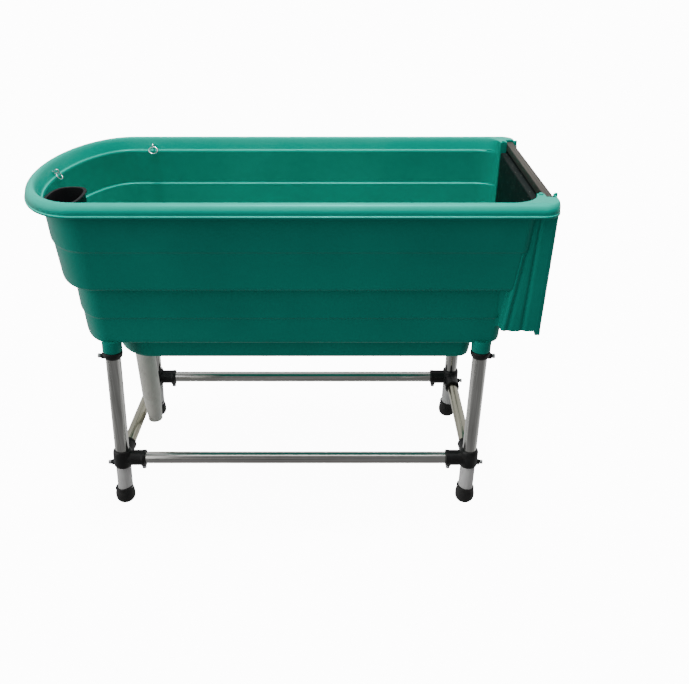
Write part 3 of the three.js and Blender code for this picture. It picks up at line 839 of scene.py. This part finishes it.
def foot(name):
    """A bell foot of black rubber with a tread ring, a waist and a lip round the sleeve."""
    origin, way = leg_axis(name)
    profile = rounded([
        (6, 0), (17.5, 0), (21.5, 2.5), (26, 10), (27, 20), (26.4, 31), (23.8, 40), (23.4, 43.5),
        (24.6, 45), (24.6, 48.5), (23.6, FOOT_HEIGHT), (6, FOOT_HEIGHT),
    ], 5)
    points, faces = lathe(profile, 72)
    inward = -SIDE[name.split("_")[1]]
    rise = (points[:, 2] / FOOT_HEIGHT) ** 2
    points[:, 2] += FOOT_TILT * rise * inward * points[:, 0] / 25
    body = solid(aim((points, faces), origin, UP))
    bore = solid(aim(rod(SLEEVE_RADIUS + GAP, SLEEVE_START - GAP, FOOT_HEIGHT + 20, 64, 0.1), origin, way))
    piece(f"bell_foot_{name}", cut(body, bore), RUBBER, "tub", [f"foot_{name}"])


def leg(name):
    origin, way = leg_axis(name)
    shaft = pipe(LEG_RADIUS, LEG_RADIUS - TUBE_WALL, SLEEVE_START, LEG_END, 72)
    piece(f"leg_{name}", solid(aim(shaft, origin, way)), STEEL_UP, "tub", [f"leg_tube_{name}"])
    cover = pipe(SLEEVE_RADIUS, LEG_BORE, SLEEVE_START, SLEEVE_END, 72, 0.5)
    piece(f"sleeve_{name}", solid(aim(cover, origin, way)), SLEEVE, "tub", [f"leg_sleeve_{name}"])


def collar(name):
    """The collar under the socket, with its screw boss."""
    origin, way = leg_axis(name)
    out = (SIDE[name.split("_")[1]], 0, 0)
    profile = rounded([
        (10, COLLAR_START), (21.5, COLLAR_START), (23.6, COLLAR_START + 4), (25, COLLAR_START + 11),
        (25, COLLAR_END), (10, COLLAR_END),
    ], 3, 5)
    boss = rod(BOSS_RADIUS, BOSS_START + 2, COLLAR_BOSS, 32, 1.2)
    screw_place = (0, 0, COLLAR_SCREW)
    body = moulded(join(solid(lathe(profile, 64)), solid(aim(boss, screw_place, out))), 0.7, 3)
    bore = solid(rod(LEG_BORE, COLLAR_START - 12, COLLAR_END + 5, 64, 0.1))
    cut(body, bore, solid(aim(SCREW_HOLE, screw_place, out)))
    place_at(body, origin, way)
    piece(f"collar_{name}", body, NYLON, "tub", [f"socket_collar_{name}"])
    turned_out = Vector(UP).rotation_difference(Vector(way)) @ Vector(out)
    thumb_screw(
        f"collar_knob_{name}", origin + way * COLLAR_SCREW, turned_out, LEG_BORE + 0.1, COLLAR_KNOB,
        screw_body("collar", name), f"collar_screw_{name}",
    )


def clamp_arm(place, direction):
    """The solids of an arm with its screw boss and parting rib, and its holes."""
    profile = rounded([
        (8, 0), (ARM_RADIUS - 0.8, 0), (ARM_RADIUS - 0.8, ARM_END - 9), (ARM_RADIUS, ARM_END - 8),
        (ARM_RADIUS, ARM_END), (8, ARM_END),
    ], 1.2, 4)
    end = place + direction * (ARM_END - 1)
    across = np.array((abs(direction[1]), abs(direction[0]), 0)) * RIB_HALF
    low = np.minimum(place, end) - across
    high = np.maximum(place, end) + across
    rib = box((low[0], high[0]), (low[1], high[1]), (place[2] + 10, place[2] + ARM_RADIUS + RIB_HALF))
    boss_place = place + direction * ARM_BOSS
    boss = rod(BOSS_RADIUS, BOSS_START, RAIL_BOSS, 32, 1.2)
    bore = rod(RAIL_BORE, RAIL_START - 1, ARM_END + 5, 64, 0.1)
    arm = lathe(profile, 64)
    parts = [solid(aim(arm, place, direction)), solid(rib), solid(aim(boss, boss_place, DOWN))]
    holes = [solid(aim(bore, place, direction)), solid(aim(SCREW_HOLE, boss_place, DOWN))]
    return parts, holes


def clamp(name):
    """A three-way clamp: a collar on the leg, and an arm for each rail."""
    origin, way = leg_axis(name)
    place = leg_point(name, RAIL_Z)
    knob = leg_point(name, LEG_SCREW_Z)
    end, side = name.split("_")
    outward = np.array((SIDE[side], 0, 0))
    arms = {"rail": np.array((-SIDE[side], 0, 0)), "cross": np.array((0, -FRONT[end], 0))}
    profile = rounded([
        (10, CLAMP_START), (23.4, CLAMP_START), (CLAMP_RADIUS, CLAMP_START + 5),
        (CLAMP_RADIUS, CLAMP_END - 9), (21.4, CLAMP_END), (10, CLAMP_END),
    ], 5, 5)
    parts = [solid(aim(rod(BOSS_RADIUS, BOSS_START, LEG_BOSS, 32, 1.2), knob, outward))]
    bore = rod(LEG_BORE, CLAMP_START - 10, CLAMP_END + 10, 64, 0.1)
    holes = [solid(aim(bore, origin, way)), solid(aim(SCREW_HOLE, knob, outward))]
    for direction in arms.values():
        arm_parts, arm_holes = clamp_arm(place, direction)
        parts += arm_parts
        holes += arm_holes
    body = moulded(join(solid(aim(lathe(profile, 64), origin, way)), *parts), 0.9, 3)
    cut(body, *holes)
    piece(f"clamp_{name}", body, NYLON, "tub", [f"corner_clamp_{name}"])
    thumb_screw(
        f"clamp_knob_{name}", knob, outward, LEG_BORE + 0.2, LEG_KNOB,
        screw_body("leg", name), f"clamp_leg_screw_{name}",
    )
    for kind, direction in arms.items():
        thumb_screw(
            f"{kind}_knob_{name}", place + direction * ARM_BOSS, DOWN, RAIL_BORE + 0.1, ARM_KNOB,
            screw_body(kind, name), f"clamp_{kind}_screw_{name}",
        )


def rail(node, along, material):
    low, high = corners(node)
    middle = (low + high) / 2
    way = np.eye(3)[along]
    start = middle - way * (high - low)[along] / 2
    bar = pipe(RAIL_RADIUS, RAIL_RADIUS - TUBE_WALL, 0, (high - low)[along], 64)
    piece(f"{node}_bar", solid(aim(bar, start, way)), material, "tub", [node])


# ---------------------------------------------------------------- drain

DRAIN_X = centre("drain_pipe")[0]
DRAIN_PLACE = (DRAIN_X, 0, 0)
PIPE_TOP = corners("drain_pipe")[1][2]
PIPE_BOTTOM = corners("drain_pipe")[0][2]
OUTLET_BOTTOM = corners("drain_outlet")[0][2]
PIPE_RADIUS = 27
PIPE_BORE = 24
TAIL_RADIUS = 23                # the strainer's tail, which passes through the sump and the nut
STRAINER_BORE = 19
STRAINER_SEAT = SUMP_Z + WALL + GAP
SLOT_HALF = 1.8
FLANGE_RADIUS = 31
NUT_RADIUS = 33
NUT_GRIPS = 12
GRIP_HALF = 1.6


def strainer():
    """A slotted flange in the sump, with a tail through its hole."""
    seat = STRAINER_SEAT
    profile = rounded([
        (8, PIPE_TOP - 30), (TAIL_RADIUS, PIPE_TOP - 30), (TAIL_RADIUS, seat), (FLANGE_RADIUS, seat),
        (FLANGE_RADIUS - 0.4, seat + 1.6), (26, seat + 2.5), (8, seat + 1.6),
    ], 0.8, 4)
    slots = []
    for y in (-12, -6, 0, 6, 12):
        reach = math.sqrt(18 * 18 - y * y) - 2
        x = (DRAIN_X - reach, DRAIN_X + reach)
        slots.append(solid(box(x, (y - SLOT_HALF, y + SLOT_HALF), (seat - 3, seat + 4))))
    body = solid(aim(lathe(profile, 72), DRAIN_PLACE, UP))
    bore = solid(aim(rod(STRAINER_BORE, PIPE_TOP - 35, seat - 2, 64, 0.2), DRAIN_PLACE, UP))
    piece("strainer", cut(body, bore, *slots), STRAINER, "tub", ["drain_strainer"])


def nut():
    """The nut under the sump, with grip notches round it."""
    bore = TAIL_RADIUS + 0.5
    bottom, top = PIPE_TOP + GAP, SUMP_Z - GAP
    profile = rounded_loop([(bore, bottom), (NUT_RADIUS, bottom), (NUT_RADIUS, top), (bore, top)], 0.8, 3)
    grips = []
    for turn in np.arange(NUT_GRIPS) * math.tau / NUT_GRIPS:
        x = DRAIN_X + (NUT_RADIUS + 0.4) * math.cos(turn)
        y = (NUT_RADIUS + 0.4) * math.sin(turn)
        sides = ((x - GRIP_HALF, x + GRIP_HALF), (y - GRIP_HALF, y + GRIP_HALF))
        grips.append(solid(box(*sides, (PIPE_TOP - 1, SUMP_Z + 1))))
    body = solid(aim(lathe(profile, 72, closed=True), DRAIN_PLACE, UP))
    piece("nut", cut(body, *grips), NYLON, "tub", ["drain_nut"])


def waste_pipe():
    """The drain pipe, and its tapered end with a lipped mouth."""
    body = pipe(PIPE_RADIUS, PIPE_BORE, PIPE_BOTTOM, PIPE_TOP, 72, 0.8)
    piece("waste_pipe", solid(aim(body, DRAIN_PLACE, UP)), PIPE, "tub", ["drain_pipe"])
    spigot = PIPE_BORE - GAP
    profile = rounded_loop([
        (20.7, PIPE_BOTTOM - 20), (16, OUTLET_BOTTOM + 8), (15.5, OUTLET_BOTTOM), (19.8, OUTLET_BOTTOM),
        (20.6, OUTLET_BOTTOM + 2), (20.6, OUTLET_BOTTOM + 5), (19.9, OUTLET_BOTTOM + 6),
        (22.5, PIPE_BOTTOM - 50), (25, PIPE_BOTTOM - 14), (25.5, PIPE_BOTTOM - GAP),
        (spigot, PIPE_BOTTOM - GAP), (spigot, PIPE_BOTTOM + 22), (20.7, PIPE_BOTTOM + 22),
    ], 1.2, 4)
    outlet = solid(aim(lathe(profile, 72, closed=True), DRAIN_PLACE, UP))
    piece("waste_outlet", outlet, PIPE, "tub", ["drain_outlet"])


# ---------------------------------------------------------------- caddy

CADDY_PLACE = (-507, -141)
CADDY_HALF = (40, 64)
CADDY_SIDES = 96
CADDY_ROUNDNESS = 0.75          # 1 is an ellipse, and less is squarer
LIP_HEIGHT = 2


def oval(shrink, levels):
    """The basket's plan, lofted through (height, further inset) pairs."""
    turns = np.arange(CADDY_SIDES) * math.tau / CADDY_SIDES
    waves = [np.sign(wave) * np.abs(wave) ** CADDY_ROUNDNESS for wave in (np.cos(turns), np.sin(turns))]
    rings = []
    for z, extra in levels:
        x = CADDY_PLACE[0] + (CADDY_HALF[0] - shrink - extra) * waves[0]
        y = CADDY_PLACE[1] + (CADDY_HALF[1] - shrink - extra) * waves[1]
        rings.append(np.column_stack([x, y, np.full(CADDY_SIDES, z)]))
    return solid(loft(rings))


def within(shape, inset, start, end):
    """The part of a shape that is inside the nose by this inset."""
    room = solid(loft([level(z, inset, 500, 20, 20) for z in (start, end)]))
    return combine(shape, "INTERSECT", [room])


def caddy():
    """An oval basket that fits the nose and hangs by its lip on the ledge."""
    low, high = corners("caddy")
    bottom, top = low[2], high[2]
    lip = top - LIP_HEIGHT
    body = oval(0, [(bottom, 6), (bottom + 1.8, 1.8), (bottom + 6, 0), (top, 0)])
    body = within(body, 46, bottom - 1, top + 1)
    flange = within(oval(-4, [(lip, 0), (top, 0)]), 39.8, lip - 1, top + 1)
    hollow = oval(3, [(bottom + 3, 5), (bottom + 5, 1.5), (bottom + 9, 0), (top + 5, 0)])
    hollow = within(hollow, 49, bottom, top + 6)
    cut(join(body, flange), hollow)
    piece("basket", bevel(body, 0.7), BASKET, "caddy", ["caddy"])


# ---------------------------------------------------------------- studio

FLOOR_HALF = 30000
FLOOR_GLOW = 12
ROOM_STRENGTH = 1.0
# brightness of the room from front (0) to back (1)
ROOM = [(0.0, 0.2), (0.3, 0.23), (0.42, 0.46), (0.6, 0.7), (1.0, 0.7)]
TOP_LIGHT = 8
SIDE_LIGHT = 1.5
STRIP_LIGHT = 19


def floor():
    """A pale glowing sheet that keeps shadows light. It neither lights the object nor shows in its shine."""
    obj = solid(box((-FLOOR_HALF, FLOOR_HALF), (-FLOOR_HALF, FLOOR_HALF), (-20, 0)))
    obj.name = "floor"
    look = Surface("floor_paper", specular=0.0)
    look.colour(look.ramp(look.noise(0.7, 2), (0.3, 0.30), (0.7, 0.31)))
    look.shader.inputs["Emission Color"].default_value = (1, 1, 1, 1)
    look.shader.inputs["Emission Strength"].default_value = FLOOR_GLOW
    obj.data.materials.append(look.material)
    obj.visible_diffuse = False
    obj.visible_glossy = False


def sun_light(name, strength, spread, tilt):
    data = bpy.data.lights.new(name, "SUN")
    data.energy = strength
    data.angle = math.radians(spread)
    lamp = bpy.data.objects.new(name, data)
    lamp.rotation_euler = [math.radians(angle) for angle in tilt]
    bpy.context.scene.collection.objects.link(lamp)


def strip_light(name, power, place, size):
    """A long soft box that points straight down."""
    data = bpy.data.lights.new(name, "AREA")
    data.energy = power
    data.shape = "RECTANGLE"
    data.size, data.size_y = size
    lamp = bpy.data.objects.new(name, data)
    lamp.location = place
    bpy.context.scene.collection.objects.link(lamp)


def surroundings():
    """A pale room that is dark towards the front, for the tubes' dark streak. Seen directly, it is white."""
    world = bpy.data.worlds.new("studio")
    world.use_nodes = True
    nodes, links = world.node_tree.nodes, world.node_tree.links
    coordinates = nodes.new("ShaderNodeTexCoord")
    split = nodes.new("ShaderNodeSeparateXYZ")
    ramp = nodes.new("ShaderNodeValToRGB")
    spread = nodes.new("ShaderNodeMapRange")
    spread.inputs["From Min"].default_value = -1
    spread.inputs["From Max"].default_value = 1
    while len(ramp.color_ramp.elements) < len(ROOM):
        ramp.color_ramp.elements.new(0.5)
    for element, (place, grey) in zip(ramp.color_ramp.elements, ROOM):
        element.position = place
        element.color = (grey, grey, grey, 1)
    background = nodes["Background"]
    background.inputs["Strength"].default_value = ROOM_STRENGTH
    links.new(coordinates.outputs["Generated"], split.inputs["Vector"])
    links.new(split.outputs["Y"], spread.inputs["Value"])
    links.new(spread.outputs["Result"], ramp.inputs["Fac"])
    links.new(ramp.outputs["Color"], background.inputs["Color"])
    backdrop = nodes.new("ShaderNodeBackground")
    backdrop.inputs["Strength"].default_value = FLOOR_GLOW
    choice = nodes.new("ShaderNodeMixShader")
    links.new(nodes.new("ShaderNodeLightPath").outputs["Is Camera Ray"], choice.inputs["Fac"])
    links.new(background.outputs["Background"], choice.inputs[1])
    links.new(backdrop.outputs["Background"], choice.inputs[2])
    links.new(choice.outputs["Shader"], nodes["World Output"].inputs["Surface"])
    bpy.context.scene.world = world


# ---------------------------------------------------------------- build

tub_shell()
gate_panel()
gate_seal()
gate_cap()
for corner in NAMES:
    leg(corner)
    foot(corner)
    collar(corner)
    clamp(corner)
rail("rail_front", 0, STEEL_LONG)
rail("rail_rear", 0, STEEL_LONG)
rail("cross_rail_left", 1, STEEL_CROSS)
rail("cross_rail_right", 1, STEEL_CROSS)
strainer()
nut()
waste_pipe()
caddy()
for tether_name in TETHERS:
    tether_parts(tether_name)

floor()
surroundings()
sun_light("top_light", TOP_LIGHT, 9, (-2, 0, 0))
sun_light("side_light", SIDE_LIGHT, 60, (70, 0, -65))
strip_light("strip_light", STRIP_LIGHT, (0, -0.75, 3), (3.2, 0.6))
